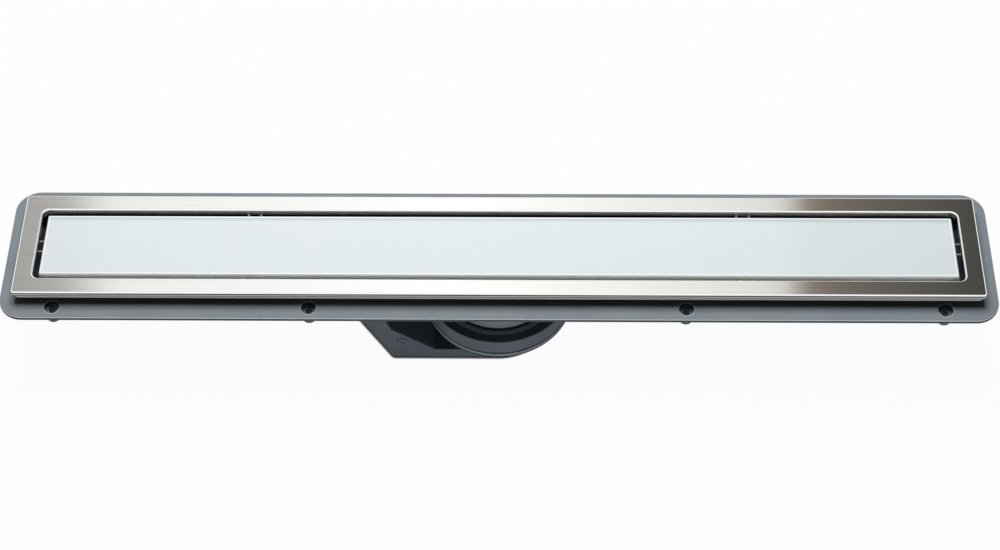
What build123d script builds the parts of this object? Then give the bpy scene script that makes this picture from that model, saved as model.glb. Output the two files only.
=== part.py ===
from build123d import *

import math
import os

# Linear shower drain: a flanged plastic channel with a steel frame and a glass panel on top, and a
# trap below that turns on the channel's round neck. Millimetres, +Z up, X along the channel. The
# origin is on the neck's axis, at the underside of the trap's base.

# Steel frame, folded from one sheet
frame_length = 550.0
frame_width = 70.0
frame_rim = 10.5
frame_height = 9.8
frame_sheet = 1.2
frame_corner = 2.0
frame_edge_round = 0.9
lip_height = 3.2
hem_height = 2.4
hem_inset = 0.6
hem_corner = 3.5
opening_corner = 4.0

# Glass panel, the steel tray that carries it, its rubber feet and the clips that centre it
panel_gap = 3.4
panel_drop = 1.1
glass_thickness = 6.0
glass_arris = 0.5
tray_sheet = 1.0
tray_inset = 0.5
tray_corner = 1.0
foot_end_distance = 35.6
foot_count = 4
foot_length = 24.0
foot_depth = 3.0
foot_margin = 0.2
clip_end_distance = 119.3
clip_width = 8.4
clip_sheet = 0.8
clip_prong = 1.2
clip_root = 3.0
clip_drop = 1.9
clip_play = 0.3

# Plastic channel
wall = 2.3
flange_end_margin = 8.5
flange_side_margin = 10.4
flange_corner = 14.0
flange_edge_round = 0.8
ledge_depth = 5.0
frame_play = 0.6
ledge_at_ends = 5.0
gutter_corner = 3.0
gutter_depth_ends = 10.8
gutter_depth_centre = 13.6

# Screw seats in the flange
screw_x_outer = 252.8
screw_x_inner = 106.9
screw_y = 38.0
screw_hole_radius = 2.0
screw_head_radius = 4.3
screw_head_depth = 3.3
boss_top_radius = 5.6
boss_tip_radius = 4.0
boss_depth = 9.2
boss_rib = 1.6

# Drain hole in the gutter's floor, and the sieve and dip tube that lift out of it
drain_radius = 18.4
drain_ledge = 2.5
insert_play = 0.3
gasket_height = 1.2
dip_rim_height = 1.6
dip_tube_radius = 14.0
dip_tube_wall = 1.6
dip_tube_lift = 5.0
sieve_thickness = 1.2
sieve_hole = 2.8
sieve_pitch = 4.2
sieve_border = 1.6

# Round neck under the channel, and the seal that it turns in
neck_radius = 33.0
neck_show = 10.1
neck_tip = 0.7
seal_width = 4.8
seal_height = 3.0
seal_play = 0.05
retainer_recess = 2.3
retainer_height = 2.0
retainer_play = 0.3

# Trap: collar and bowl round the neck, and the chamber beside them
collar_radius = 43.3
collar_height = 11.0
collar_groove_height = 0.8
collar_groove_depth = 0.9
collar_lip_height = 3.2
bowl_step = 2.9
bowl_foot_radius = 30.4
weir_radius = 24.0
weir_wall = 1.8
weir_height = 25.7
swivel_gap = 1.4
chamber_overlap = 4.3
chamber_spare = 1.1
corner_cut_length = 22.0
corner_cut_width = 27.8
shoulder_depth = 22.4
shoulder_angle = 39.0
deck_height = 8.3
deck_end = 37.2
passage_width = 36.0
base_bevel = 0.8
gate_mark_radius = 3.4
gate_mark_height = 0.5
gate_dimple_radius = 0.9
gate_mark_x = 56.0
gate_mark_z = 16.1

# Outlet stub, glued into a socket on the chamber's back wall
spigot_radius = 20.0
spigot_bore = 17.4
spigot_shoulder = 1.0
spigot_length = 23.6
spigot_bevel = 1.2
socket_length = 6.0
socket_lift = 0.3
glue_gap = 0.1

# Heights, from the trap's base upwards
socket_bore = spigot_radius - spigot_shoulder + glue_gap
socket_radius = socket_bore + wall
spigot_z = socket_radius + socket_lift
chamber_roof = spigot_z + socket_radius
gutter_under = chamber_roof + swivel_gap
gutter_floor = gutter_under + wall
flange_top = gutter_floor + gutter_depth_centre
flange_under = flange_top - wall
ledge_top = flange_top - ledge_depth
frame_top = flange_top + frame_height
lip_bottom = frame_top - lip_height
glass_top = frame_top - panel_drop
glass_bottom = glass_top - glass_thickness
tray_under = glass_bottom - tray_sheet

sieve_bottom = gutter_floor - sieve_thickness
dip_rim_bottom = sieve_bottom - dip_rim_height
drain_seat = dip_rim_bottom - gasket_height

collar_top = gutter_under - neck_show
retainer_top = collar_top - retainer_recess
seal_top = retainer_top - retainer_height
seal_bottom = seal_top - seal_height
neck_bottom = seal_bottom - neck_tip
collar_bottom = collar_top - collar_height
collar_lip_top = collar_bottom - collar_groove_height
collar_lip_bottom = collar_lip_top - collar_lip_height

# Plan sizes that follow from the ones above
opening_length = frame_length - 2 * frame_rim
opening_width = frame_width - 2 * frame_rim
skirt_length = opening_length + 2 * frame_sheet
skirt_width = opening_width + 2 * frame_sheet
skirt_corner = opening_corner + frame_sheet
panel_length = opening_length - 2 * panel_gap
panel_width = opening_width - 2 * panel_gap
tray_length = panel_length - 2 * tray_inset
tray_width = panel_width - 2 * tray_inset
foot_pitch = (tray_length - 2 * foot_end_distance) / (foot_count - 1)
clip_x = tray_length / 2 - clip_end_distance

flange_length = frame_length + 2 * flange_end_margin
flange_width = frame_width + 2 * flange_side_margin
mouth_length = skirt_length + 2 * frame_play
mouth_width = skirt_width + 2 * frame_play
mouth_corner = skirt_corner + frame_play
gutter_width = tray_width - 2 * (foot_depth + foot_margin)
gutter_length = mouth_length - 2 * ledge_at_ends
screw_points = [
    (side_x * x, side_y * screw_y)
    for x in (screw_x_outer, screw_x_inner)
    for side_x in (-1, 1)
    for side_y in (-1, 1)
]

neck_bore = neck_radius - wall
insert_radius = drain_radius - insert_play
collar_bore = neck_radius + seal_play + seal_width
bowl_bore = collar_bore - bowl_step
bowl_radius = bowl_bore + wall
chamber_near = collar_radius - chamber_overlap
chamber_far = chamber_near + 2 * (socket_radius + chamber_spare)
spigot_x = -(chamber_near + chamber_far) / 2
socket_end = bowl_foot_radius + socket_length
shoulder_back = -bowl_foot_radius + shoulder_depth
shoulder_slope = math.tan(math.radians(shoulder_angle))
trap_outline = [
    (0, -bowl_foot_radius),
    (corner_cut_length - chamber_far, -bowl_foot_radius),
    (-chamber_far, corner_cut_width - bowl_foot_radius),
    (-chamber_far, bowl_foot_radius),
    (0, bowl_foot_radius),
]

os.makedirs("parts", exist_ok=True)


def gutter_block(grow):
    """Gutter run that falls from both ends to the drain hole, larger by grow on every side."""
    length = gutter_length + 2 * grow
    end_floor = flange_top - gutter_depth_ends - grow
    low_floor = gutter_floor - grow
    with BuildPart() as block:
        with BuildSketch(Plane.XY.offset(low_floor)):
            RectangleRounded(length, gutter_width + 2 * grow, gutter_corner + grow)
        extrude(amount=ledge_top - low_floor)
        with BuildSketch(Plane.XZ):
            with BuildLine():
                Polyline(
                    (-length / 2, ledge_top),
                    (-length / 2, end_floor),
                    (-neck_radius, low_floor),
                    (neck_radius, low_floor),
                    (length / 2, end_floor),
                    (length / 2, ledge_top),
                    close=True,
                )
            make_face()
        extrude(amount=gutter_width, both=True, mode=Mode.INTERSECT)
    return block.part


def chamber_block(inset):
    """Outlet chamber with its cut corner and sloping shoulder, smaller by inset on every side."""
    roof = chamber_roof - inset
    low_z = deck_height - inset / math.cos(math.radians(shoulder_angle))
    with BuildPart() as block:
        with BuildSketch(Plane.XY.offset(wall)):
            with BuildLine():
                Polyline(
                    (-chamber_near, -bowl_foot_radius),
                    *trap_outline[1:4],
                    (-chamber_near, bowl_foot_radius),
                    close=True,
                )
            make_face()
            offset(amount=-inset, kind=Kind.INTERSECTION, mode=Mode.REPLACE)
        extrude(amount=roof - wall)
        with BuildSketch(Plane.XZ.offset(-shoulder_back - inset)):
            with BuildLine():
                Polyline(
                    (-deck_end, low_z),
                    (-deck_end - (roof - low_z) / shoulder_slope, roof),
                    (0, roof),
                    (0, low_z),
                    close=True,
                )
            make_face()
        extrude(amount=bowl_foot_radius + shoulder_back, mode=Mode.SUBTRACT)
    return block.part


# Channel body: flange, ledge for the frame and the panel's feet, falling gutter, drain seat and screw
# seats in one moulding
with BuildPart() as channel_body:
    with BuildSketch(Plane.XY.offset(flange_under)):
        RectangleRounded(flange_length, flange_width, flange_corner)
    extrude(amount=wall)
    fillet(channel_body.faces().sort_by(Axis.Z)[-1].edges(), radius=flange_edge_round)
    with BuildSketch(Plane.XY.offset(ledge_top - wall)):
        RectangleRounded(mouth_length + 2 * wall, mouth_width + 2 * wall, mouth_corner + wall)
    extrude(until=Until.NEXT)
    add(gutter_block(wall))
    with BuildSketch(Plane.XY.offset(gutter_under)):
        Circle(drain_radius + wall)
    extrude(amount=ledge_top - gutter_under)
    with BuildSketch(Plane.XY.offset(gutter_under)):
        Circle(neck_radius)
    extrude(amount=wall)
    with Locations(*[(x, y, flange_under) for x, y in screw_points]):
        Cone(
            boss_tip_radius,
            boss_top_radius,
            boss_depth - wall,
            align=(Align.CENTER, Align.CENTER, Align.MAX),
        )
    rib_reach = screw_y - mouth_width / 2
    rib_places = [(x, math.copysign(screw_y - rib_reach / 2, y), flange_under) for x, y in screw_points]
    with Locations(*rib_places):
        Box(boss_rib, rib_reach, ledge_depth, align=(Align.CENTER, Align.CENTER, Align.MAX))
    with BuildSketch(Plane.XY.offset(ledge_top)):
        RectangleRounded(mouth_length, mouth_width, mouth_corner)
    extrude(amount=ledge_depth, mode=Mode.SUBTRACT)
    add(gutter_block(0), mode=Mode.SUBTRACT)
    with BuildSketch(Plane.XY.offset(gutter_floor)):
        Circle(drain_radius)
    extrude(amount=ledge_top - gutter_floor, mode=Mode.SUBTRACT)
    with BuildSketch(Plane.XY.offset(drain_seat - wall)):
        Circle(drain_radius + wall)
    extrude(amount=gutter_floor - drain_seat + wall)
    with Locations((0, 0, gutter_floor)):
        CounterBoreHole(drain_radius - drain_ledge, drain_radius, gutter_floor - drain_seat)
    with Locations(*[(x, y, flange_top) for x, y in screw_points]):
        CounterBoreHole(screw_hole_radius, screw_head_radius, screw_head_depth, boss_depth)
channel_body.part.label = "channel_body"
export_step(channel_body.part, "parts/channel_body.step")

# Neck: plain tube bonded under the channel, on which the trap turns
with BuildPart() as neck_tube:
    with BuildSketch(Plane.XY.offset(neck_bottom)):
        Circle(neck_radius)
        Circle(neck_bore, mode=Mode.SUBTRACT)
    extrude(amount=gutter_under - neck_bottom)
neck_tube.part.label = "neck_tube"
export_step(neck_tube.part, "parts/neck_tube.step")

# Top frame: rounded rim, outer lip with a hem set back under it, and an inner skirt on the ledge
with BuildPart() as top_frame:
    with BuildSketch(Plane.XY.offset(lip_bottom)):
        RectangleRounded(frame_length, frame_width, frame_corner)
        RectangleRounded(opening_length, opening_width, opening_corner, mode=Mode.SUBTRACT)
    extrude(amount=lip_height)
    fillet(top_frame.faces().sort_by(Axis.Z)[-1].edges(), radius=frame_edge_round)
    with BuildSketch(Plane.XY.offset(lip_bottom)):
        RectangleRounded(
            frame_length - 2 * frame_sheet,
            frame_width - 2 * frame_sheet,
            frame_corner - frame_sheet,
        )
        RectangleRounded(skirt_length, skirt_width, skirt_corner, mode=Mode.SUBTRACT)
    extrude(amount=lip_height - frame_sheet, mode=Mode.SUBTRACT)
    hem_reach = hem_inset + frame_sheet
    with BuildSketch(Plane.XY.offset(lip_bottom - hem_height)):
        RectangleRounded(frame_length - 2 * hem_inset, frame_width - 2 * hem_inset, hem_corner)
        RectangleRounded(
            frame_length - 2 * hem_reach,
            frame_width - 2 * hem_reach,
            hem_corner - frame_sheet,
            mode=Mode.SUBTRACT,
        )
    extrude(amount=hem_height)
    with BuildSketch(Plane.XY.offset(ledge_top)):
        RectangleRounded(skirt_length, skirt_width, skirt_corner)
        RectangleRounded(opening_length, opening_width, opening_corner, mode=Mode.SUBTRACT)
    extrude(amount=lip_bottom - ledge_top)
top_frame.part.label = "top_frame"
export_step(top_frame.part, "parts/top_frame.step")

# Glass panel with a ground arris on every edge
with BuildPart() as glass_panel:
    with BuildSketch(Plane.XY.offset(glass_bottom)):
        Rectangle(panel_length, panel_width)
    extrude(amount=glass_thickness)
    chamfer(glass_panel.edges(), length=glass_arris)
glass_panel.part.label = "glass_panel"
export_step(glass_panel.part, "parts/glass_panel.step")

# Panel tray: flat sheet under the glass
with BuildPart() as panel_tray:
    with BuildSketch(Plane.XY.offset(tray_under)):
        RectangleRounded(tray_length, tray_width, tray_corner)
    extrude(amount=tray_sheet)
panel_tray.part.label = "panel_tray"
export_step(panel_tray.part, "parts/panel_tray.step")

# Panel feet: rubber blocks between the ledge and the tray, with room between them for the water
foot_row = [(number - (foot_count - 1) / 2) * foot_pitch for number in range(foot_count)]
foot_places = [(x, side * (tray_width - foot_depth) / 2) for side in (-1, 1) for x in foot_row]
for number, place in enumerate(foot_places, start=1):
    with BuildPart() as panel_foot:
        with BuildSketch(Plane.XY.offset(ledge_top)):
            with Locations(place):
                Rectangle(foot_length, foot_depth)
        extrude(amount=tray_under - ledge_top)
    panel_foot.part.label = f"panel_foot_{number}"
    export_step(panel_foot.part, f"parts/panel_foot_{number}.step")

# Panel clips: a strip fixed under the tray, folded up beside the glass and across to the frame, and
# slotted into two prongs
clip_places = [
    ((-clip_x, tray_width / 2), (0, 1, 0)),
    ((clip_x, tray_width / 2), (0, 1, 0)),
    ((-clip_x, -tray_width / 2), (0, -1, 0)),
    ((clip_x, -tray_width / 2), (0, -1, 0)),
    ((-tray_length / 2, 0), (-1, 0, 0)),
    ((tray_length / 2, 0), (1, 0, 0)),
]
clip_riser = tray_inset + clip_play
clip_reach = tray_inset + panel_gap - clip_play
bridge_z = glass_top - clip_drop
for number, ((x, y), outward) in enumerate(clip_places, start=1):
    along = Vector(*outward).cross(Vector(0, 0, 1))
    profile_plane = Plane(origin=(x, y, 0), x_dir=outward, z_dir=along)
    with BuildPart() as panel_clip:
        with BuildSketch(profile_plane):
            with BuildLine():
                Polyline(
                    (-clip_root, tray_under),
                    (clip_riser, tray_under),
                    (clip_riser, bridge_z),
                    (clip_reach, bridge_z),
                    (clip_reach, bridge_z - clip_sheet),
                    (clip_riser + clip_sheet, bridge_z - clip_sheet),
                    (clip_riser + clip_sheet, tray_under - clip_sheet),
                    (-clip_root, tray_under - clip_sheet),
                    close=True,
                )
            make_face()
        extrude(amount=clip_width / 2, both=True)
        with BuildSketch(profile_plane):
            with Locations((0, tray_under)):
                Rectangle(clip_reach, bridge_z - tray_under, align=(Align.MIN, Align.MIN))
        extrude(amount=clip_width / 2 - clip_prong, both=True, mode=Mode.SUBTRACT)
    panel_clip.part.label = f"panel_clip_{number}"
    export_step(panel_clip.part, f"parts/panel_clip_{number}.step")

# Flat rubber gasket under the dip tube's rim
with BuildPart() as dip_tube_gasket:
    with BuildSketch(Plane.XY.offset(drain_seat)):
        Circle(insert_radius)
        Circle(drain_radius - drain_ledge, mode=Mode.SUBTRACT)
    extrude(amount=gasket_height)
dip_tube_gasket.part.label = "dip_tube_gasket"
export_step(dip_tube_gasket.part, "parts/dip_tube_gasket.step")

# Dip tube: a rim on the gasket and the pipe that dips into the trap's water
with BuildPart() as dip_tube:
    with BuildSketch(Plane.XY.offset(dip_rim_bottom)):
        Circle(insert_radius)
    extrude(amount=dip_rim_height)
    with BuildSketch(Plane.XY.offset(wall + dip_tube_lift)):
        Circle(dip_tube_radius)
    extrude(amount=dip_rim_bottom - wall - dip_tube_lift)
    with Locations((0, 0, sieve_bottom)):
        Hole(dip_tube_radius - dip_tube_wall)
dip_tube.part.label = "dip_tube"
export_step(dip_tube.part, "parts/dip_tube.step")

# Hair sieve: perforated disc on the dip tube's rim, level with the gutter's floor
sieve_reach = int(insert_radius / sieve_pitch)
sieve_row = [step * sieve_pitch for step in range(-sieve_reach, sieve_reach + 1)]
sieve_points = [
    (x, y)
    for x in sieve_row
    for y in sieve_row
    if math.hypot(abs(x) + sieve_hole / 2, abs(y) + sieve_hole / 2) < insert_radius - sieve_border
]
with BuildPart() as hair_sieve:
    with BuildSketch(Plane.XY.offset(sieve_bottom)):
        Circle(insert_radius)
        with Locations(*sieve_points):
            Rectangle(sieve_hole, sieve_hole, mode=Mode.SUBTRACT)
    extrude(amount=sieve_thickness)
hair_sieve.part.label = "hair_sieve"
export_step(hair_sieve.part, "parts/hair_sieve.step")

# Rubber seal between the neck and the trap's collar
with BuildPart() as neck_seal:
    with BuildSketch(Plane.XY.offset(seal_bottom)):
        Circle(collar_bore)
        Circle(neck_radius + seal_play, mode=Mode.SUBTRACT)
    extrude(amount=seal_height)
neck_seal.part.label = "neck_seal"
export_step(neck_seal.part, "parts/neck_seal.step")

# Ring that keeps the seal in the collar
with BuildPart() as seal_retainer:
    with BuildSketch(Plane.XY.offset(seal_top)):
        Circle(collar_bore)
        Circle(neck_radius + retainer_play, mode=Mode.SUBTRACT)
    extrude(amount=retainer_height)
seal_retainer.part.label = "seal_retainer"
export_step(seal_retainer.part, "parts/seal_retainer.step")

# Trap shell: collar, bowl, outlet chamber and socket in one moulding, open underneath
with BuildPart() as trap_shell:
    add(chamber_block(0))
    with BuildSketch(Plane.XZ):
        with BuildLine():
            Polyline(
                (-chamber_near, wall),
                (-chamber_near, deck_height + shoulder_slope * (chamber_near - deck_end)),
                (-deck_end, deck_height),
                (0, deck_height),
                (0, wall),
                close=True,
            )
        make_face()
    extrude(amount=bowl_foot_radius, both=True)
    with Locations((-chamber_near, shoulder_back, wall)):
        Box(
            chamber_near,
            passage_width,
            collar_bottom - wall,
            align=(Align.MIN, Align.MIN, Align.MIN),
        )
    with Locations((-chamber_near, 0, wall)):
        Box(
            chamber_near,
            2 * (bowl_foot_radius - wall),
            deck_height - 2 * wall,
            align=(Align.MIN, Align.CENTER, Align.MIN),
            mode=Mode.SUBTRACT,
        )
    add(chamber_block(wall), mode=Mode.SUBTRACT)
    with BuildSketch(Plane.XZ):
        with BuildLine():
            Polyline(
                (0, collar_top),
                (collar_radius, collar_top),
                (collar_radius, collar_bottom),
                (collar_radius - collar_groove_depth, collar_bottom),
                (collar_radius - collar_groove_depth, collar_lip_top),
                (collar_radius, collar_lip_top),
                (collar_radius, collar_lip_bottom),
                (bowl_radius, collar_lip_bottom),
                (bowl_foot_radius, wall),
                (0, wall),
                close=True,
            )
        make_face()
    revolve(axis=Axis.Z)
    with BuildSketch(Plane.XZ):
        with BuildLine():
            Polyline(
                (0, collar_top),
                (collar_bore, collar_top),
                (collar_bore, seal_bottom),
                (bowl_bore, seal_bottom),
                (bowl_bore, collar_lip_bottom),
                (bowl_foot_radius - wall, wall),
                (0, wall),
                close=True,
            )
        make_face()
    revolve(axis=Axis.Z, mode=Mode.SUBTRACT)
    with Locations((-chamber_near - 2 * wall, shoulder_back + wall, wall)):
        Box(
            chamber_near,
            passage_width - 2 * wall,
            collar_bottom - 2 * wall,
            align=(Align.MIN, Align.MIN, Align.MIN),
            mode=Mode.SUBTRACT,
        )
    with BuildSketch(Plane.XZ.offset(-socket_end)):
        with Locations((spigot_x, spigot_z)):
            Circle(socket_radius)
    extrude(amount=socket_length)
    with BuildSketch(Plane.XZ.offset(-socket_end)):
        with Locations((spigot_x, spigot_z)):
            Circle(socket_bore)
    extrude(amount=socket_length + wall, mode=Mode.SUBTRACT)
    with BuildSketch(Plane.XZ.offset(bowl_foot_radius)):
        with Locations((-gate_mark_x, gate_mark_z)):
            Circle(gate_mark_radius)
            Circle(gate_dimple_radius, mode=Mode.SUBTRACT)
    extrude(amount=gate_mark_height)
trap_shell.part.label = "trap_shell"
export_step(trap_shell.part, "parts/trap_shell.step")

# Trap base: plate under the bowl and the chamber
with BuildPart() as trap_base:
    with BuildSketch():
        Circle(bowl_foot_radius)
        with BuildLine():
            Polyline(*trap_outline, close=True)
        make_face()
    extrude(amount=wall)
    chamfer(trap_base.faces().sort_by(Axis.Z)[0].edges(), length=base_bevel)
trap_base.part.label = "trap_base"
export_step(trap_base.part, "parts/trap_base.step")

# Weir: ring bonded to the base, which keeps the trap's water round the dip tube
with BuildPart() as weir_ring:
    with BuildSketch(Plane.XY.offset(wall)):
        Circle(weir_radius)
        Circle(weir_radius - weir_wall, mode=Mode.SUBTRACT)
    extrude(amount=weir_height)
weir_ring.part.label = "weir_ring"
export_step(weir_ring.part, "parts/weir_ring.step")

# Outlet stub: root in the socket, shoulder against its end, bevelled for the waste pipe
with BuildPart() as outlet_spigot:
    root_radius = spigot_radius - spigot_shoulder
    spigot_end = socket_end + spigot_length
    with BuildSketch(Plane.XY.offset(spigot_z)):
        with BuildLine():
            Polyline(
                (spigot_x + spigot_bore, bowl_foot_radius - wall),
                (spigot_x + root_radius, bowl_foot_radius - wall),
                (spigot_x + root_radius, socket_end),
                (spigot_x + spigot_radius, socket_end),
                (spigot_x + spigot_radius, spigot_end - spigot_bevel),
                (spigot_x + spigot_radius - spigot_bevel, spigot_end),
                (spigot_x + spigot_bore, spigot_end),
                close=True,
            )
        make_face()
    revolve(axis=Axis((spigot_x, 0, spigot_z), (0, 1, 0)))
outlet_spigot.part.label = "outlet_spigot"
export_step(outlet_spigot.part, "parts/outlet_spigot.step")
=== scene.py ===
"""Looks for a linear shower drain: plastic channel, steel frame, white glass panel and turning trap."""

import logging
import math
from collections.abc import Sequence
from dataclasses import dataclass
from enum import Enum
from typing import Any

import bpy
from mathutils import Matrix, Vector


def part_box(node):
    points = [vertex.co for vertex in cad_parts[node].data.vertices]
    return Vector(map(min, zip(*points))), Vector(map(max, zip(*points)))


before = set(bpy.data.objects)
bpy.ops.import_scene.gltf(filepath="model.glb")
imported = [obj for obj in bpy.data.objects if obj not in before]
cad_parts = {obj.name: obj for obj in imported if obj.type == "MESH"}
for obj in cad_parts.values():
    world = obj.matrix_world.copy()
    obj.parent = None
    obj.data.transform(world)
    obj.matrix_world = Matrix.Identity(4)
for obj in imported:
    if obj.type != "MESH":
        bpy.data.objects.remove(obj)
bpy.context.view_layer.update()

LOG = logging.getLogger("shower_drain")
MM = 0.001
WHITE = (1.0, 1.0, 1.0, 1.0)
# Multiplied with a place, this leaves out its height.
LEVEL_PART = (1.0, 1.0, 0.0)
# Corners of a flat sheet, in turn.
CORNERS = ((-1.0, -1.0), (1.0, -1.0), (1.0, 1.0), (-1.0, 1.0))
# The Mix node's sockets go by number: two colours in and one out, or two plain numbers in.
COLOUR_A = 6
COLOUR_B = 7
COLOUR_OUT = 2
NUMBER_A = 2
NUMBER_B = 3

ColourSteps = tuple[tuple[float, str], ...]
Range = tuple[float, float]


class Ray(Enum):
    """Kinds of light ray that see the floor and the sky as plain white."""

    CAMERA = "Is Camera Ray"
    GLOSSY = "Is Glossy Ray"
    TRANSMISSION = "Is Transmission Ray"


def hex_to_linear(code: str) -> tuple[float, float, float, float]:
    """Turn an sRGB hex colour into the linear colour that shaders take.

    Args:
        code: Six hex digits, with or without a leading hash.

    Returns:
        Linear red, green, blue and an alpha of one.
    """
    digits = code.lstrip("#")
    values = [int(digits[i:i + 2], 16) / 255 for i in (0, 2, 4)]
    # The sRGB curve has a straight foot, and is a power above it.
    linear = [v / 12.92 if v <= 0.04045 else ((v + 0.055) / 1.055) ** 2.4 for v in values]
    return (linear[0], linear[1], linear[2], 1.0)


def add_node(
    tree: bpy.types.NodeTree,
    kind: str,
    settings: dict[str, Any] | None = None,
    inputs: dict[Any, Any] | None = None,
) -> bpy.types.Node:
    """Add one node, set its properties and fill or link its inputs.

    Args:
        tree: Node tree that gets the node.
        kind: Blender's class name of the node.
        settings: Properties to set on the node itself.
        inputs: Input name or number, with a value or an output socket to link.

    Returns:
        The new node.
    """
    node = tree.nodes.new(kind)
    for name, value in (settings or {}).items():
        setattr(node, name, value)
    for key, value in (inputs or {}).items():
        if isinstance(value, bpy.types.NodeSocket):
            tree.links.new(value, node.inputs[key])
        else:
            node.inputs[key].default_value = value
    return node


def new_tree(name: str) -> tuple[bpy.types.Material, bpy.types.NodeTree]:
    """Start an empty node material.

    Args:
        name: Name of the material.

    Returns:
        The material and its node tree.
    """
    material = bpy.data.materials.new(name)
    material.use_nodes = True
    material.node_tree.nodes.clear()
    return material, material.node_tree


def set_ramp(node: bpy.types.Node, steps: Sequence[tuple[float, str]]) -> None:
    """Give a colour ramp its steps.

    Args:
        node: Colour ramp node, new, with its two first steps.
        steps: Place from zero to one, and sRGB hex colour, of each step.
    """
    elements = node.color_ramp.elements
    while len(elements) < len(steps):
        elements.new(0.5)
    for element, (place, code) in zip(elements, steps):
        element.position = place
        element.color = hex_to_linear(code)


@dataclass(frozen=True)
class LipHighlightAndShade:
    """Lip round a moulded collar: a painted highlight on its face, and painted shade along its foot and in
    its groove.
    """

    radius_mm: float
    # How far a face may lie from that radius and still be part of the lip.
    slack_mm: float
    low_mm: float
    high_mm: float
    # Painted shade and highlight at heights in millimetres above the lip's foot: dark at the foot and in
    # the groove, pale on the lip's face.
    colours: ColourSteps

    def paint(
        self,
        tree: bpy.types.NodeTree,
        place: bpy.types.NodeSocket,
        under: bpy.types.NodeSocket,
    ) -> bpy.types.NodeSocket:
        """Paint highlight and shade on the lip of a collar that stands round the Z axis.

        Args:
            tree: Node tree of the material.
            place: Socket with the place on the object.
            under: Socket with the colour of the rest.

        Returns:
            Socket with the lip's colours on the lip, and the other colour elsewhere.
        """
        split = add_node(tree, "ShaderNodeSeparateXYZ", None, {0: place})
        level = add_node(tree, "ShaderNodeVectorMath", {"operation": "MULTIPLY"}, {
            0: place, 1: LEVEL_PART})
        reach = add_node(tree, "ShaderNodeVectorMath", {"operation": "LENGTH"}, {0: level.outputs[0]})
        on_radius = add_node(tree, "ShaderNodeMath", {"operation": "COMPARE"}, {
            0: reach.outputs["Value"], 1: self.radius_mm * MM, 2: self.slack_mm * MM})
        middle_mm = (self.low_mm + self.high_mm) / 2
        on_height = add_node(tree, "ShaderNodeMath", {"operation": "COMPARE"}, {
            0: split.outputs["Z"], 1: middle_mm * MM, 2: (self.high_mm - middle_mm) * MM})
        lip = add_node(tree, "ShaderNodeMath", {"operation": "MULTIPLY"}, {
            0: on_radius.outputs[0], 1: on_height.outputs[0]})
        climb = add_node(tree, "ShaderNodeMapRange", None, {
            "Value": split.outputs["Z"],
            "From Min": self.low_mm * MM, "From Max": self.high_mm * MM})
        ramp = add_node(tree, "ShaderNodeValToRGB", None, {"Fac": climb.outputs["Result"]})
        set_ramp(ramp, [(mm / (self.high_mm - self.low_mm), code) for mm, code in self.colours])
        return add_node(tree, "ShaderNodeMix", {"data_type": "RGBA"}, {
            0: lip.outputs[0], COLOUR_A: under, COLOUR_B: ramp.outputs["Color"]}).outputs[COLOUR_OUT]


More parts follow.
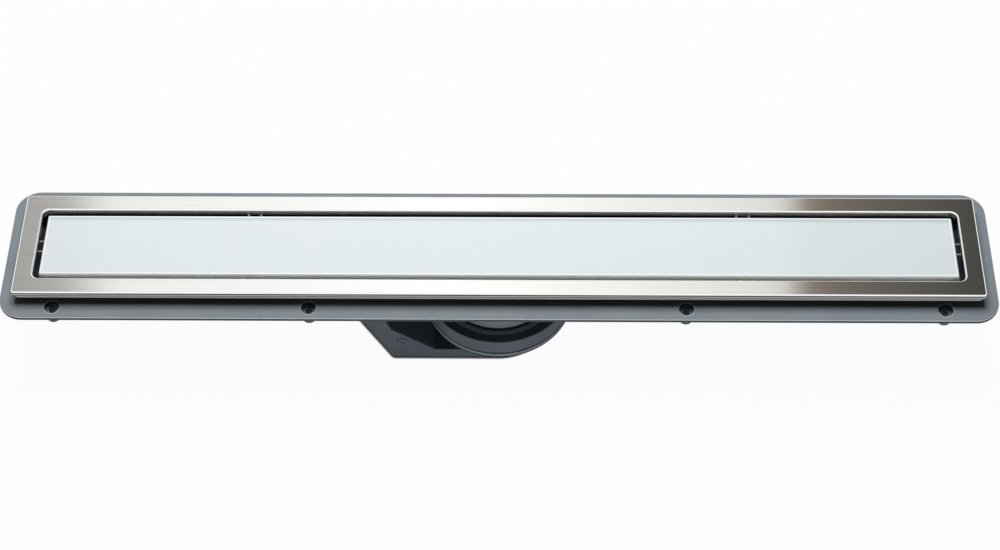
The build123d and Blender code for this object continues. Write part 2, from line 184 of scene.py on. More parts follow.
@dataclass(frozen=True)
class MouldedAbs:
    """ABS, injection moulded against a finely eroded tool: satin grey with a soft grain, a painted
    highlight on its edges, and painted shade on upright walls where a tint is given.
    """

    name: str
    colour: str = "#8A9297"
    shade: str = "#7E868D"
    # Colour of the painted highlight on edges.
    edge_highlight: str = "#DDE3E6"
    roughness: float = 0.5
    roughness_swing: float = 0.07
    specular: float = 0.16
    ior: float = 1.53
    # Tool grain is about 0.1 mm: drawn ten times coarser, so that it shows at this distance.
    grain_mm: float = 1.1
    grain_share: float = 0.35
    grain_bump: float = 0.22
    relief_mm: float = 0.12
    flow_mm: float = 38.0
    tone_range: Range = (0.45, 0.9)
    edge_mm: float = 1.4
    edge_samples: int = 6
    # How far the rounded normal turns from the flat one before an edge gets the painted highlight.
    highlight_turn_range: Range = (0.97, 0.8)
    # Upward part of the normal above which a sharp edge gets the painted highlight.
    edge_from: float = 0.5
    # Upward part of the normal above which a slope is a rounded edge that gets the painted highlight: one
    # where there is none.
    round_from: float = 1.0
    round_range: Range = (0.9, 0.75)
    # Painted shade on upright walls, as a tint multiplied in: white where there is none.
    flank_shade: str = "#FFFFFF"
    flank_shade_range: Range = (0.5, 0.2)
    # Painted highlight and shade on a collar's lip, if it has one.
    lip: LipHighlightAndShade | None = None

    def build(self) -> bpy.types.Material:
        """Make the material.

        Returns:
            The new material.
        """
        material, tree = new_tree(self.name)
        place = add_node(tree, "ShaderNodeTexCoord").outputs["Object"]
        grain = add_node(tree, "ShaderNodeTexNoise", None, {
            "Vector": place, "Scale": 1 / (self.grain_mm * MM), "Detail": 3.0, "Roughness": 0.6})
        flow = add_node(tree, "ShaderNodeTexNoise", None, {
            "Vector": place, "Scale": 1 / (self.flow_mm * MM), "Detail": 4.0, "Roughness": 0.55})
        mixed = add_node(tree, "ShaderNodeMath", {"operation": "MULTIPLY_ADD"}, {
            0: grain.outputs["Fac"], 1: self.grain_share, 2: flow.outputs["Fac"]})
        tone = add_node(tree, "ShaderNodeMapRange", None, {
            "Value": mixed.outputs[0],
            "From Min": self.tone_range[0], "From Max": self.tone_range[1]})
        body = add_node(tree, "ShaderNodeMix", {"data_type": "RGBA"}, {
            0: tone.outputs["Result"],
            COLOUR_A: hex_to_linear(self.shade), COLOUR_B: hex_to_linear(self.colour)})
        # Moulded edges are never sharp: a small radius rounds their shading, and a pale line on them is a
        # painted highlight.
        radius = add_node(tree, "ShaderNodeBevel", {"samples": self.edge_samples}, {
            "Radius": self.edge_mm * MM})
        facing = add_node(tree, "ShaderNodeNewGeometry")
        turn = add_node(tree, "ShaderNodeVectorMath", {"operation": "DOT_PRODUCT"}, {
            0: radius.outputs["Normal"], 1: facing.outputs["Normal"]})
        edge_turned = add_node(tree, "ShaderNodeMapRange", None, {
            "Value": turn.outputs["Value"],
            "From Min": self.highlight_turn_range[0], "From Max": self.highlight_turn_range[1]})
        tilt = add_node(tree, "ShaderNodeSeparateXYZ", None, {0: facing.outputs["True Normal"]})
        rounded = add_node(tree, "ShaderNodeMapRange", {"interpolation_type": "SMOOTHSTEP"}, {
            "Value": tilt.outputs["Z"],
            "From Min": self.round_range[0], "From Max": self.round_range[1]})
        upward = add_node(tree, "ShaderNodeMath", {"operation": "GREATER_THAN"}, {
            0: tilt.outputs["Z"], 1: self.round_from})
        round_edge = add_node(tree, "ShaderNodeMath", {"operation": "MULTIPLY"}, {
            0: rounded.outputs["Result"], 1: upward.outputs[0]})
        level = add_node(tree, "ShaderNodeMath", {"operation": "GREATER_THAN"}, {
            0: tilt.outputs["Z"], 1: self.edge_from})
        sharp_edge = add_node(tree, "ShaderNodeMath", {"operation": "MULTIPLY"}, {
            0: edge_turned.outputs["Result"], 1: level.outputs[0]})
        # Painted highlight: the pale colour on upward faces at sharp edges, and on rounded edges.
        highlight = add_node(tree, "ShaderNodeMath", {"operation": "MAXIMUM"}, {
            0: sharp_edge.outputs[0], 1: round_edge.outputs[0]})
        # Painted shade: upright walls are darkened by the flank shade tint.
        upright = add_node(tree, "ShaderNodeMapRange", None, {
            "Value": tilt.outputs["Z"],
            "From Min": self.flank_shade_range[0], "From Max": self.flank_shade_range[1]})
        shaded_walls = add_node(tree, "ShaderNodeMix", {"data_type": "RGBA", "blend_type": "MULTIPLY"}, {
            0: upright.outputs["Result"],
            COLOUR_A: body.outputs[COLOUR_OUT], COLOUR_B: hex_to_linear(self.flank_shade)})
        skin = shaded_walls.outputs[COLOUR_OUT]
        if self.lip:
            skin = self.lip.paint(tree, place, skin)
        colour = add_node(tree, "ShaderNodeMix", {"data_type": "RGBA"}, {
            0: highlight.outputs[0], COLOUR_A: skin, COLOUR_B: hex_to_linear(self.edge_highlight)})
        rough = add_node(tree, "ShaderNodeMapRange", None, {
            "Value": grain.outputs["Fac"],
            "To Min": self.roughness - self.roughness_swing,
            "To Max": self.roughness + self.roughness_swing})
        bump = add_node(tree, "ShaderNodeBump", None, {
            "Strength": self.grain_bump, "Distance": self.relief_mm * MM,
            "Height": grain.outputs["Fac"], "Normal": radius.outputs["Normal"]})
        shader = add_node(tree, "ShaderNodeBsdfPrincipled", None, {
            "Base Color": colour.outputs[COLOUR_OUT], "Roughness": rough.outputs["Result"],
            "IOR": self.ior, "Specular IOR Level": self.specular, "Normal": bump.outputs["Normal"]})
        add_node(tree, "ShaderNodeOutputMaterial", None, {"Surface": shader.outputs[0]})
        return material


@dataclass(frozen=True)
class BrushedSteel:
    """Stainless steel sheet, belt brushed along the channel: fine long lines, with a painted highlight on
    its folds and painted shade on its rim's wall, skirt and underside.
    """

    name: str
    colour: str = "#E2E2E1"
    shade: str = "#D5D5D4"
    # Colour of the painted highlight on folds.
    fold_highlight: str = "#FCFCFB"
    # Colour of the painted shade on the skirt below the lip and on the underside.
    skirt_shade: str = "#2A2A28"
    roughness: float = 0.08
    roughness_swing: float = 0.03
    inner_roughness: float = 0.3
    outer_roughness: float = 0.6
    # Belt lines are about 0.05 mm wide: drawn wider, so that they show at this distance.
    line_mm: float = 0.4
    stroke_mm: float = 110.0
    line_range: Range = (0.3, 0.7)
    line_bump: float = 0.3
    relief_mm: float = 0.012
    # Upward part of the normal over which a wall turns into a fold, and a fold into the level top.
    leaning_range: Range = (0.3, 0.7)
    sloping_range: Range = (0.995, 0.9)
    # Upward part of the normal below which a face is the underside.
    under_below: float = -0.5
    # A folded rim's top in metres, how far its lip reaches below that, and how softly the painted shade
    # sets in.
    rim_top: float = 0.0
    lip_mm: float = 3.5
    shade_fade_mm: float = 1.2
    # Painted shade on the rim's outer wall, as tints at depths in millimetres: dark lines in the creases
    # under the fold and above the hem.
    wall_reach_mm: float = 6.0
    wall_shade_tints: ColourSteps = (
        (0.6, "#FFFFFF"),
        (0.85, "#383733"),
        (1.55, "#383733"),
        (1.8, "#FFFFFF"),
        (2.5, "#FFFFFF"),
        (2.75, "#5C5B57"),
        (3.6, "#76756F"),
        (4.1, "#F2F2F0"),
    )

    def build(self) -> bpy.types.Material:
        """Make the material.

        Returns:
            The new material.
        """
        material, tree = new_tree(self.name)
        place = add_node(tree, "ShaderNodeTexCoord").outputs["Object"]
        across = 1 / (self.line_mm * MM)
        lay = add_node(tree, "ShaderNodeMapping", None, {
            "Vector": place, "Scale": (1 / (self.stroke_mm * MM), across, across)})
        lines = add_node(tree, "ShaderNodeTexNoise", None, {
            "Vector": lay.outputs["Vector"], "Scale": 1.0, "Detail": 4.0, "Roughness": 0.65})
        contrast = add_node(tree, "ShaderNodeMapRange", None, {
            "Value": lines.outputs["Fac"],
            "From Min": self.line_range[0], "From Max": self.line_range[1]})
        brushed = add_node(tree, "ShaderNodeMix", {"data_type": "RGBA"}, {
            0: contrast.outputs["Result"],
            COLOUR_A: hex_to_linear(self.shade), COLOUR_B: hex_to_linear(self.colour)})
        facing = add_node(tree, "ShaderNodeNewGeometry").outputs["True Normal"]
        tilt = add_node(tree, "ShaderNodeSeparateXYZ", None, {0: facing})
        level = add_node(tree, "ShaderNodeMath", {"operation": "ABSOLUTE"}, {0: tilt.outputs["Z"]})
        # Painted highlight: where a wall turns into the level top, the fold is coloured near white, as a
        # pale line.
        leaning = add_node(tree, "ShaderNodeMapRange", {"interpolation_type": "SMOOTHSTEP"}, {
            "Value": level.outputs[0],
            "From Min": self.leaning_range[0], "From Max": self.leaning_range[1]})
        sloping = add_node(tree, "ShaderNodeMapRange", {"interpolation_type": "SMOOTHSTEP"}, {
            "Value": level.outputs[0],
            "From Min": self.sloping_range[0], "From Max": self.sloping_range[1]})
        folded = add_node(tree, "ShaderNodeMath", {"operation": "MULTIPLY"}, {
            0: leaning.outputs["Result"], 1: sloping.outputs["Result"]})
        bright = add_node(tree, "ShaderNodeMix", {"data_type": "RGBA"}, {
            0: folded.outputs[0],
            COLOUR_A: brushed.outputs[COLOUR_OUT], COLOUR_B: hex_to_linear(self.fold_highlight)})
        # Painted shade: below the lip the inward-facing skirt, and the underside, are coloured dark.
        height = add_node(tree, "ShaderNodeSeparateXYZ", None, {0: place})
        depth = add_node(tree, "ShaderNodeMath", {"operation": "SUBTRACT"}, {
            0: self.rim_top, 1: height.outputs["Z"]})
        deep = add_node(tree, "ShaderNodeMapRange", None, {
            "Value": depth.outputs[0],
            "From Min": self.lip_mm * MM, "From Max": (self.lip_mm + self.shade_fade_mm) * MM})
        level_place = add_node(tree, "ShaderNodeVectorMath", {"operation": "MULTIPLY"}, {
            0: place, 1: LEVEL_PART})
        outward = add_node(tree, "ShaderNodeVectorMath", {"operation": "DOT_PRODUCT"}, {
            0: level_place.outputs[0], 1: facing})
        inward = add_node(tree, "ShaderNodeMath", {"operation": "LESS_THAN"}, {
            0: outward.outputs["Value"], 1: 0.0})
        hidden = add_node(tree, "ShaderNodeMath", {"operation": "MULTIPLY"}, {
            0: deep.outputs["Result"], 1: inward.outputs[0]})
        under = add_node(tree, "ShaderNodeMath", {"operation": "LESS_THAN"}, {
            0: tilt.outputs["Z"], 1: self.under_below})
        painted_shade_mask = add_node(tree, "ShaderNodeMath", {"operation": "MAXIMUM"}, {
            0: hidden.outputs[0], 1: under.outputs[0]})
        # Painted shade: outward faces are darkened in bands by their depth below the rim's top.
        along_wall = add_node(tree, "ShaderNodeMapRange", None, {
            "Value": depth.outputs[0], "From Min": 0.0, "From Max": self.wall_reach_mm * MM})
        crease_shade = add_node(tree, "ShaderNodeValToRGB", None, {"Fac": along_wall.outputs["Result"]})
        set_ramp(crease_shade, [(mm / self.wall_reach_mm, code) for mm, code in self.wall_shade_tints])
        outside = add_node(tree, "ShaderNodeMath", {"operation": "SUBTRACT"}, {
            0: 1.0, 1: inward.outputs[0]})
        crease_shaded = add_node(tree, "ShaderNodeMix", {"data_type": "RGBA", "blend_type": "MULTIPLY"}, {
            0: outside.outputs[0],
            COLOUR_A: bright.outputs[COLOUR_OUT], COLOUR_B: crease_shade.outputs["Color"]})
        colour = add_node(tree, "ShaderNodeMix", {"data_type": "RGBA"}, {
            0: painted_shade_mask.outputs[0],
            COLOUR_A: crease_shaded.outputs[COLOUR_OUT], COLOUR_B: hex_to_linear(self.skirt_shade)})
        grit = add_node(tree, "ShaderNodeMapRange", None, {
            "Value": lines.outputs["Fac"],
            "To Min": self.roughness - self.roughness_swing,
            "To Max": self.roughness + self.roughness_swing})
        # Upright walls keep the dull mill finish that the belt doesn't reach.
        wall = add_node(tree, "ShaderNodeMix", None, {
            0: inward.outputs[0], NUMBER_A: self.outer_roughness, NUMBER_B: self.inner_roughness})
        rough = add_node(tree, "ShaderNodeMix", None, {
            0: leaning.outputs["Result"], NUMBER_A: wall.outputs[0], NUMBER_B: grit.outputs["Result"]})
        bump = add_node(tree, "ShaderNodeBump", None, {
            "Strength": self.line_bump, "Distance": self.relief_mm * MM, "Height": lines.outputs["Fac"]})
        shader = add_node(tree, "ShaderNodeBsdfPrincipled", None, {
            "Base Color": colour.outputs[COLOUR_OUT], "Metallic": 1.0, "Roughness": rough.outputs[0],
            "Normal": bump.outputs["Normal"]})
        add_node(tree, "ShaderNodeOutputMaterial", None, {"Surface": shader.outputs[0]})
        return material


@dataclass(frozen=True)
class PaintedGlass:
    """Float glass, polished and painted white behind: cool white, with painted shade as a green back rim
    and a painted highlight inside the outline.
    """

    name: str
    half_length: float
    half_width: float
    paint: str = "#E3E8ED"
    paint_far: str = "#DFE9EB"
    rim_shade: str = "#C0D1D3"
    side: str = "#F0F6F1"
    # Colour of the painted highlight just inside the outline.
    arris_highlight: str = "#FCFEFE"
    roughness: float = 0.06
    ior: float = 1.52
    glint_mm: float = 1.3
    rim_mm: float = 4.6
    drift_mm: float = 160.0
    # Upward part of the normal below which a face is the glass's ground edge.
    edge_below: float = 0.3
    # Light wanders about this far in the glass before its edge lets it out.
    glow_mm: float = 16.0

    def build(self) -> bpy.types.Material:
        """Make the material.

        Returns:
            The new material.
        """
        material, tree = new_tree(self.name)
        place = add_node(tree, "ShaderNodeTexCoord").outputs["Object"]
        split = add_node(tree, "ShaderNodeSeparateXYZ", None, {0: place})
        inset = []
        for axis, half in (("X", self.half_length), ("Y", self.half_width)):
            size = add_node(tree, "ShaderNodeMath", {"operation": "ABSOLUTE"}, {0: split.outputs[axis]})
            inset.append(add_node(tree, "ShaderNodeMath", {"operation": "SUBTRACT"}, {
                0: half, 1: size.outputs[0]}).outputs[0])
        nearest = add_node(tree, "ShaderNodeMath", {"operation": "MINIMUM"}, {0: inset[0], 1: inset[1]})
        # Painted shade: a darker green band along the back edge, where more of the thick glass lies behind
        # the surface.
        behind = add_node(tree, "ShaderNodeMath", {"operation": "SUBTRACT"}, {
            0: self.half_width, 1: split.outputs["Y"]})
        rim_shade = add_node(tree, "ShaderNodeMapRange", {"interpolation_type": "SMOOTHSTEP"}, {
            "Value": behind.outputs[0], "From Min": self.rim_mm * MM, "From Max": self.glint_mm * MM})
        # Painted highlight: a white line just inside the outline, for the light that the ground edge
        # throws back into the glass.
        glint = add_node(tree, "ShaderNodeMath", {"operation": "LESS_THAN"}, {
            0: nearest.outputs[0], 1: self.glint_mm * MM})
        drift = add_node(tree, "ShaderNodeTexNoise", None, {
            "Vector": place, "Scale": 1 / (self.drift_mm * MM), "Detail": 2.0})
        paint = add_node(tree, "ShaderNodeMix", {"data_type": "RGBA"}, {
            0: drift.outputs["Fac"],
            COLOUR_A: hex_to_linear(self.paint), COLOUR_B: hex_to_linear(self.paint_far)})
        top = add_node(tree, "ShaderNodeMix", {"data_type": "RGBA"}, {
            0: rim_shade.outputs["Result"],
            COLOUR_A: paint.outputs[COLOUR_OUT], COLOUR_B: hex_to_linear(self.rim_shade)})
        facing = add_node(tree, "ShaderNodeNewGeometry").outputs["True Normal"]
        tilt = add_node(tree, "ShaderNodeSeparateXYZ", None, {0: facing})
        level = add_node(tree, "ShaderNodeMath", {"operation": "ABSOLUTE"}, {0: tilt.outputs["Z"]})
        wall = add_node(tree, "ShaderNodeMath", {"operation": "LESS_THAN"}, {
            0: level.outputs[0], 1: self.edge_below})
        edged = add_node(tree, "ShaderNodeMix", {"data_type": "RGBA"}, {
            0: glint.outputs[0],
            COLOUR_A: top.outputs[COLOUR_OUT], COLOUR_B: hex_to_linear(self.arris_highlight)})
        colour = add_node(tree, "ShaderNodeMix", {"data_type": "RGBA"}, {
            0: wall.outputs[0],
            COLOUR_A: edged.outputs[COLOUR_OUT], COLOUR_B: hex_to_linear(self.side)})
        shader = add_node(tree, "ShaderNodeBsdfPrincipled", None, {
            "Base Color": colour.outputs[COLOUR_OUT], "Roughness": self.roughness, "IOR": self.ior,
            "Subsurface Weight": wall.outputs[0], "Subsurface Radius": (1.0, 1.0, 1.0),
            "Subsurface Scale": self.glow_mm * MM})
        add_node(tree, "ShaderNodeOutputMaterial", None, {"Surface": shader.outputs[0]})
        return material


@dataclass(frozen=True)
class MouldedRubber:
    """EPDM rubber, compression moulded: soot black and dull, with a dusty bloom."""

    name: str
    colour: str = "#1B1B1D"
    bloom: str = "#2E2F31"
    roughness: float = 0.72
    ior: float = 1.5
    bloom_mm: float = 3.0
    bloom_bump: float = 0.2
    relief_mm: float = 0.1
    edge_mm: float = 0.3
    edge_samples: int = 4

    def build(self) -> bpy.types.Material:
        """Make the material.

        Returns:
            The new material.
        """
        material, tree = new_tree(self.name)
        place = add_node(tree, "ShaderNodeTexCoord").outputs["Object"]
        dust = add_node(tree, "ShaderNodeTexNoise", None, {
            "Vector": place, "Scale": 1 / (self.bloom_mm * MM), "Detail": 5.0, "Roughness": 0.7})
        colour = add_node(tree, "ShaderNodeMix", {"data_type": "RGBA"}, {
            0: dust.outputs["Fac"],
            COLOUR_A: hex_to_linear(self.colour), COLOUR_B: hex_to_linear(self.bloom)})
        radius = add_node(tree, "ShaderNodeBevel", {"samples": self.edge_samples}, {
            "Radius": self.edge_mm * MM})
        bump = add_node(tree, "ShaderNodeBump", None, {
            "Strength": self.bloom_bump, "Distance": self.relief_mm * MM,
            "Height": dust.outputs["Fac"], "Normal": radius.outputs["Normal"]})
        shader = add_node(tree, "ShaderNodeBsdfPrincipled", None, {
            "Base Color": colour.outputs[COLOUR_OUT], "Roughness": self.roughness, "IOR": self.ior,
            "Normal": bump.outputs["Normal"]})
        add_node(tree, "ShaderNodeOutputMaterial", None, {"Surface": shader.outputs[0]})
        return material


def dress(node: str, material: bpy.types.Material) -> None:
    """Put a finish on a CAD node.

    Args:
        node: Name of the CAD node.
        material: Finish for every slot of the node.
    """
    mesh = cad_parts[node].data
    mesh.materials.clear()
    mesh.materials.append(material)
    LOG.info("%s: %s", node, material.name)


@dataclass
class Channel:
    """Flanged plastic channel, and the steel frame that stands in its mouth."""

    # Painted highlight on the flange's rounded edges and edge lines, and painted shade on its upright
    # walls.
    plastic: MouldedAbs = MouldedAbs(
        "abs_moulded_channel", edge_highlight="#CDD4D8", round_from=0.45, flank_shade="#868686")
    neck: MouldedAbs = MouldedAbs("abs_moulded_neck")

    def dress(self) -> None:
        """Finish the channel, its neck and its frame."""
        dress("channel_body", self.plastic.build())
        dress("neck_tube", self.neck.build())
        rim_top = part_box("top_frame")[1].z
        dress("top_frame", BrushedSteel("stainless_brushed_frame", rim_top=rim_top).build())


@dataclass
class Panel:
    """White glass, the tray that carries it, and its feet and clips."""

    clip_count: int = 6
    foot_count: int = 8
    sheet: BrushedSteel = BrushedSteel(
        "stainless_rolled_tray", "#BDBBB6", "#A9A6A0", roughness=0.34, line_mm=1.2)
    spring: BrushedSteel = BrushedSteel(
        "stainless_spring_strip", "#9C9B97", "#8D8C88", roughness=0.6, stroke_mm=20.0)
    rubber: MouldedRubber = MouldedRubber("epdm_moulded_feet")

    def dress(self) -> None:
        """Finish the panel and what carries it."""
        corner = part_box("glass_panel")[1]
        dress("glass_panel", PaintedGlass("glass_back_painted", corner.x, corner.y).build())
        dress("panel_tray", self.sheet.build())
        for kind, count, finish in (
            ("clip", self.clip_count, self.spring),
            ("foot", self.foot_count, self.rubber),
        ):
            material = finish.build()
            for number in range(1, count + 1):
                dress(f"panel_{kind}_{number}", material)


@dataclass
class DrainInsert:
    """Sieve, dip tube and gasket that lift out of the drain hole."""

    sieve: BrushedSteel = BrushedSteel(
        "stainless_punched_sieve", "#C9C7C2", "#B2AFA9", roughness=0.3, stroke_mm=30.0)
    plastic: MouldedAbs = MouldedAbs("abs_moulded_insert", "#7E868D", "#727A82")
    gasket: MouldedRubber = MouldedRubber("epdm_cut_gasket")

    def dress(self) -> None:
        """Finish the insert."""
        dress("hair_sieve", self.sieve.build())
        dress("dip_tube", self.plastic.build())
        dress("dip_tube_gasket", self.gasket.build())


@dataclass
class Trap:
    """Turning trap: shell, base, outlet stub and the seal round the neck."""

    # Written darker than the channel's grey: painted shade, as the trap stands under the flange; its lip
    # gets painted highlight and shade.
    plastic: MouldedAbs = MouldedAbs(
        "abs_moulded_trap", "#60676F", "#565D66", "#8F979F", roughness=0.6, specular=0.1,
        lip=LipHighlightAndShade(
            radius_mm=43.3, slack_mm=0.95, low_mm=19.4, high_mm=24.4,
            colours=(
                (0.9, "#24272C"),
                (1.45, "#858E98"),
                (3.1, "#858E98"),
                (3.2, "#1C1F23"),
                (4.25, "#1C1F23"),
                (5.0, "#5B626A"),
            )))
    # Written lighter than it looks, because it stands in the channel's shade.
    retainer: MouldedAbs = MouldedAbs("abs_moulded_retainer", "#D8DDE1", "#CCD2D7", "#E6EAED")
    seal: MouldedRubber = MouldedRubber("epdm_moulded_seal")

    def dress(self) -> None:
        """Finish the trap."""
        grey = self.plastic.build()
        for node in ("trap_shell", "trap_base", "weir_ring", "outlet_spigot"):
            dress(node, grey)
        dress("seal_retainer", self.retainer.build())
        dress("neck_seal", self.seal.build())


@dataclass(frozen=True)
class SoftBox:
    """Rectangular soft lamp: where it hangs and its size in metres, and its power in watts."""

    name: str
    place: tuple[float, float, float]
    size: tuple[float, float]
    watts: float


@dataclass
class Studio:
    """Pale floor, soft light, mirror wall and camera, with lengths in metres."""

    elevation: float = math.radians(52.85)
    azimuth: float = math.radians(1.548)
    roll: float = math.radians(-1.047)
    distance: float = 1.2306
    focal_mm: float = 77.41
    sensor_mm: float = 36.0
    shift: tuple[float, float] = (0.00217, -0.03037)
    # Strength of the sky where matt surfaces take light from it: the soft boxes give the rest.
    sky_fill: float = 0.03
    floor_reach: float = 6.0
    floor_drop: float = 0.0004
    floor_paint: str = "#E6E6E6"
    floor_bounce: str = "#C0C1C3"
    # Contact shadow: how close the trap stands, the share of open sky over which it fades, and its white.
    contact_mm: float = 1.8
    contact_samples: int = 8
    contact_range: Range = (0.6, 0.92)
    contact_white: float = 0.02
    # Share of plain white in the floor near the drain and far from it, and the distances between.
    white_share: Range = (0.96, 1.0)
    white_range: Range = (0.8, 3.0)
    wall_distance: float = 1.9
    wall_half: float = 1.6
    wall_half_height: float = 0.75
    wall_glow: float = 1.5
    # Mirror wall from left to right: a grey stretch, a white one, a brown one and a dark one.
    wall_steps: ColourSteps = (
        (-0.74, "#9B9A97"),
        (-0.66, "#A8A7A4"),
        (-0.60, "#E4E4E2"),
        (-0.10, "#FCFCFB"),
        (0.39, "#D6D5D1"),
        (0.41, "#766A5E"),
        (0.52, "#5F5B55"),
        (0.70, "#3E3E3C"),
    )
    # Height on the drain's axis that the lamps look at.
    lamp_aim: float = 0.05
    lamps: tuple[SoftBox, ...] = (
        SoftBox("soft_box_above", (-0.06, 0.42, 1.38), (0.9, 0.8), 21.5),
        SoftBox("soft_box_low", (0.0, -1.3, 0.08), (1.2, 0.12), 7.5),
    )

    def camera(self) -> None:
        """Stand the camera at the photograph's viewing angle."""
        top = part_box("top_frame")[1].z
        near, high = math.cos(self.elevation), math.sin(self.elevation)
        ahead, aside = math.cos(self.azimuth), math.sin(self.azimuth)
        back = Vector((aside * near, -ahead * near, high))
        level = Vector((ahead, aside, 0.0))
        rise = back.cross(level)
        right = math.cos(self.roll) * level + math.sin(self.roll) * rise
        up = math.cos(self.roll) * rise - math.sin(self.roll) * level
        data = bpy.data.cameras.new("camera")
        data.sensor_width = self.sensor_mm
        data.lens = self.focal_mm
        data.shift_x, data.shift_y = self.shift
        camera = bpy.data.objects.new("camera", data)
        turn = Matrix((right, up, back)).transposed().to_4x4()
        camera.matrix_world = Matrix.Translation(back * self.distance + Vector((0, 0, top))) @ turn
        bpy.context.scene.collection.objects.link(camera)
        bpy.context.scene.camera = camera

    def seen_plainly(self, tree: bpy.types.NodeTree) -> bpy.types.NodeSocket:
        """Add a switch that is one for rays that should see the plain white background.

        Args:
            tree: Node tree that gets the switch.

        Returns:
            Socket with one for camera, glossy and transmission rays, else zero.
        """
        path = add_node(tree, "ShaderNodeLightPath")
        # A mirror counts only while no matt surface has come between: such a bounce has a depth of one.
        direct = add_node(tree, "ShaderNodeMath", {"operation": "LESS_THAN"}, {
            0: path.outputs["Diffuse Depth"], 1: 0.5})
        mirrored = add_node(tree, "ShaderNodeMath", {"operation": "MULTIPLY"}, {
            0: path.outputs[Ray.GLOSSY.value], 1: direct.outputs[0]})
        either = add_node(tree, "ShaderNodeMath", {"operation": "MAXIMUM"}, {
            0: path.outputs[Ray.CAMERA.value], 1: mirrored.outputs[0]})
        return add_node(tree, "ShaderNodeMath", {"operation": "MAXIMUM"}, {
            0: either.outputs[0], 1: path.outputs[Ray.TRANSMISSION.value]}).outputs[0]

    def sky(self) -> None:
        """White surroundings that give the object only a little light."""
        world = bpy.data.worlds.new("studio_white")
        world.use_nodes = True
        tree = world.node_tree
        tree.nodes.clear()
        strength = add_node(tree, "ShaderNodeMapRange", None, {
            "Value": self.seen_plainly(tree), "To Min": self.sky_fill, "To Max": 1.0})
        glow = add_node(tree, "ShaderNodeBackground", None, {
            "Color": WHITE, "Strength": strength.outputs["Result"]})
        add_node(tree, "ShaderNodeOutputWorld", None, {"Surface": glow.outputs[0]})
        bpy.context.scene.world = world

    def hang_sheet(
        self, name: str, corners: Sequence[Vector], material: bpy.types.Material
    ) -> bpy.types.Object:
        """Hang one flat sheet, whose glow lights nothing by itself.

        Args:
            name: Name of the sheet.
            corners: Its four corners, in turn.
            material: Its finish.

        Returns:
            The sheet.
        """
        mesh = bpy.data.meshes.new(name)
        mesh.from_pydata(corners, [], [(0, 1, 2, 3)])
        material.cycles.emission_sampling = "NONE"
        mesh.materials.append(material)
        sheet = bpy.data.objects.new(name, mesh)
        bpy.context.scene.collection.objects.link(sheet)
        return sheet

    def floor(self) -> None:
        """Pale floor under the trap, white to the eye, with the object's faint shadow."""
        material, tree = new_tree("floor_matt_white")
        matt = add_node(tree, "ShaderNodeBsdfDiffuse", None, {"Color": hex_to_linear(self.floor_paint)})
        dull = add_node(tree, "ShaderNodeBsdfDiffuse", None, {"Color": hex_to_linear(self.floor_bounce)})
        # Painted contact shadow: close under the trap an occlusion test darkens the floor, which shows
        # that the drain stands on it.
        nearby = add_node(tree, "ShaderNodeAmbientOcclusion", {"samples": self.contact_samples}, {
            "Distance": self.contact_mm * MM})
        contact_shadow = add_node(tree, "ShaderNodeMapRange", None, {
            "Value": nearby.outputs["AO"],
            "From Min": self.contact_range[0], "From Max": self.contact_range[1],
            "To Min": self.contact_white})
        white = add_node(tree, "ShaderNodeEmission", None, {
            "Color": WHITE, "Strength": contact_shadow.outputs["Result"]})
        # Far from the drain the floor is as white as the sky, so that no horizon shows.
        far = add_node(tree, "ShaderNodeVectorMath", {"operation": "LENGTH"}, {
            0: add_node(tree, "ShaderNodeTexCoord").outputs["Object"]})
        share = add_node(tree, "ShaderNodeMapRange", None, {
            "Value": far.outputs["Value"],
            "From Min": self.white_range[0], "From Max": self.white_range[1],
            "To Min": self.white_share[0], "To Max": self.white_share[1]})
        lit = add_node(tree, "ShaderNodeMixShader", None, {
            0: share.outputs["Result"], 1: matt.outputs[0], 2: white.outputs[0]})
        seen = add_node(tree, "ShaderNodeMixShader", None, {
            0: self.seen_plainly(tree), 1: dull.outputs[0], 2: lit.outputs[0]})
        add_node(tree, "ShaderNodeOutputMaterial", None, {"Surface": seen.outputs[0]})
        corners = [Vector((x, y, 0.0)) * self.floor_reach for x, y in CORNERS]
        floor = self.hang_sheet("floor", corners, material)
        floor.location.z = -self.floor_drop

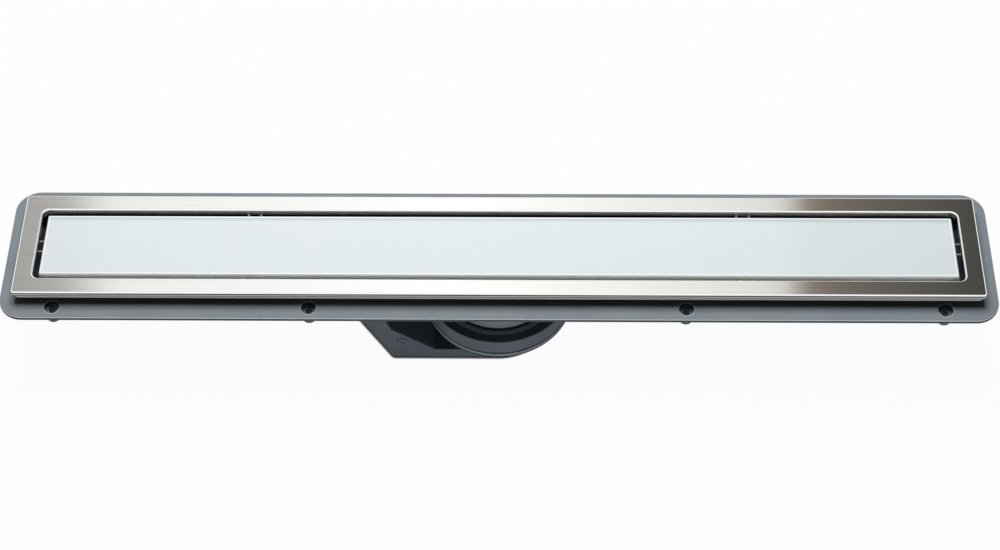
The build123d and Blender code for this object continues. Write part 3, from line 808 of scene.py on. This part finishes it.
    def mirror_wall(self) -> None:
        """Studio wall that only polished surfaces mirror, in plain stretches from grey to dark."""
        material, tree = new_tree("wall_backlit_cloth")
        place = add_node(tree, "ShaderNodeTexCoord").outputs["Object"]
        split = add_node(tree, "ShaderNodeSeparateXYZ", None, {0: place})
        half = self.wall_half
        along = add_node(tree, "ShaderNodeMapRange", None, {
            "Value": split.outputs["X"], "From Min": -half, "From Max": half})
        ramp = add_node(tree, "ShaderNodeValToRGB", None, {"Fac": along.outputs["Result"]})
        set_ramp(ramp, [((x + half) / (2 * half), code) for x, code in self.wall_steps])
        glow = add_node(tree, "ShaderNodeEmission", None, {
            "Color": ramp.outputs["Color"], "Strength": self.wall_glow})
        add_node(tree, "ShaderNodeOutputMaterial", None, {"Surface": glow.outputs[0]})
        away = Vector((0.0, math.cos(self.elevation), math.sin(self.elevation)))
        aside = Vector((1.0, 0.0, 0.0))
        rise = away.cross(aside).normalized()
        centre = away * self.wall_distance + Vector((0, 0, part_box("top_frame")[1].z))
        corners = [centre + aside * (x * half) + rise * (y * self.wall_half_height) for x, y in CORNERS]
        wall = self.hang_sheet("mirror_wall", corners, material)
        wall.visible_camera = False
        wall.visible_diffuse = False
        wall.visible_shadow = False

    def hang_lamp(self, box: SoftBox) -> None:
        """Hang one soft box that looks at the drain.

        Args:
            box: The lamp's name, place, size and power.
        """
        data = bpy.data.lights.new(box.name, "AREA")
        data.shape = "RECTANGLE"
        data.size, data.size_y = box.size
        data.energy = box.watts
        lamp = bpy.data.objects.new(box.name, data)
        place = Vector(box.place)
        lamp.location = place
        lamp.rotation_euler = (Vector((0, 0, self.lamp_aim)) - place).to_track_quat("-Z", "Y").to_euler()
        lamp.visible_glossy = False
        lamp.visible_camera = False
        bpy.context.scene.collection.objects.link(lamp)

    def build(self) -> None:
        """Set up the whole studio."""
        bpy.context.scene.view_settings.view_transform = "Standard"
        self.camera()
        self.sky()
        self.floor()
        self.mirror_wall()
        for box in self.lamps:
            self.hang_lamp(box)


def main() -> None:
    """Dress the drain and build the studio round it."""
    logging.basicConfig(level=logging.INFO)
    for part in (Channel(), Panel(), DrainInsert(), Trap()):
        part.dress()
    Studio().build()


if __name__ == "__main__":
    main()
